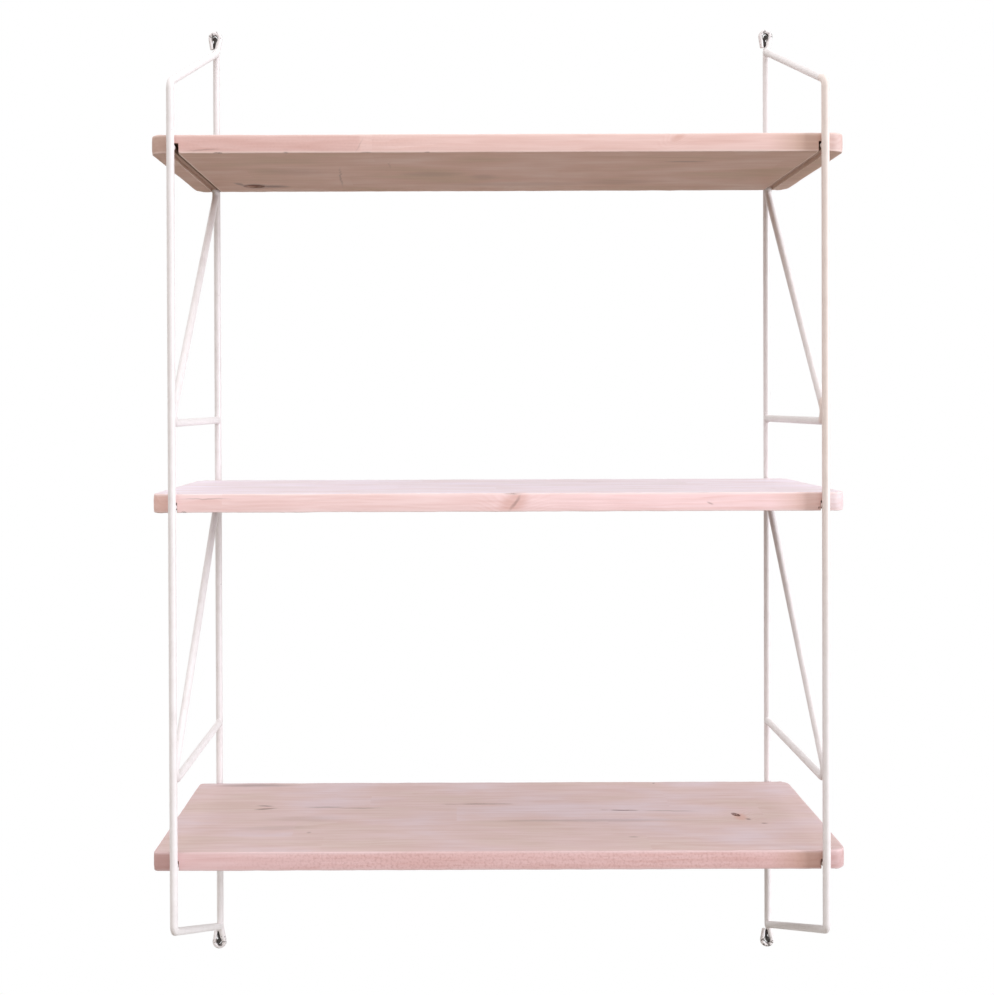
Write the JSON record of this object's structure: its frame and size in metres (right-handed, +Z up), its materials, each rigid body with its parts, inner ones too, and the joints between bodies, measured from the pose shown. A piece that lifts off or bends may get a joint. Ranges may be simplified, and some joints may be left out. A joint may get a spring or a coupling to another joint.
{
  "type": "wall shelf",
  "caption": "Wall shelf of loose pink-washed wooden boards dropped over the rungs of white painted bent-wire ladders that hang on wall nails by curled eyes.",
  "frame": {"origin": "on the wall plane, midway between the two ladders and half-way up them", "axes": "+X to the right as seen from the room, +Y into the wall, +Z up"},
  "size_m": [0.605, 0.2313, 0.9462],
  "materials": {
    "painted_wire": "white gloss paint on steel wire, chipped and worn at welds and eyes",
    "washed_wood": "thin matt pink wash over glued pine staves, worn at the edges",
    "nail_steel": "dark, dull steel"
  },
  "bodies": {
    "ladders": {"left_rear_upright": "painted_wire", "left_front_frame": "painted_wire", "left_upper_zigzag": "painted_wire", "left_lower_zigzag": "painted_wire", "left_bottom_rung": "painted_wire", "right_rear_upright": "painted_wire", "right_front_frame": "painted_wire", "right_upper_zigzag": "painted_wire", "right_lower_zigzag": "painted_wire", "right_bottom_rung": "painted_wire", "left_top_nail": "nail_steel", "left_bottom_nail": "nail_steel", "right_top_nail": "nail_steel", "right_bottom_nail": "nail_steel"},
    "top_shelf": {"top_board": "washed_wood"},
    "middle_shelf": {"middle_board": "washed_wood"},
    "bottom_shelf": {"bottom_board": "washed_wood"}
  },
  "joints": [
    {"name": "top_board_lift", "type": "slide", "parent": "ladders", "child": "top_shelf", "axis": [0, 0, 1], "range_m": [0, 0.03]},
    {"name": "middle_board_lift", "type": "slide", "parent": "ladders", "child": "middle_shelf", "axis": [0, 0, 1], "range_m": [0, 0.03]},
    {"name": "bottom_board_lift", "type": "slide", "parent": "ladders", "child": "bottom_shelf", "axis": [0, 0, 1], "range_m": [0, 0.03]}
  ]
}
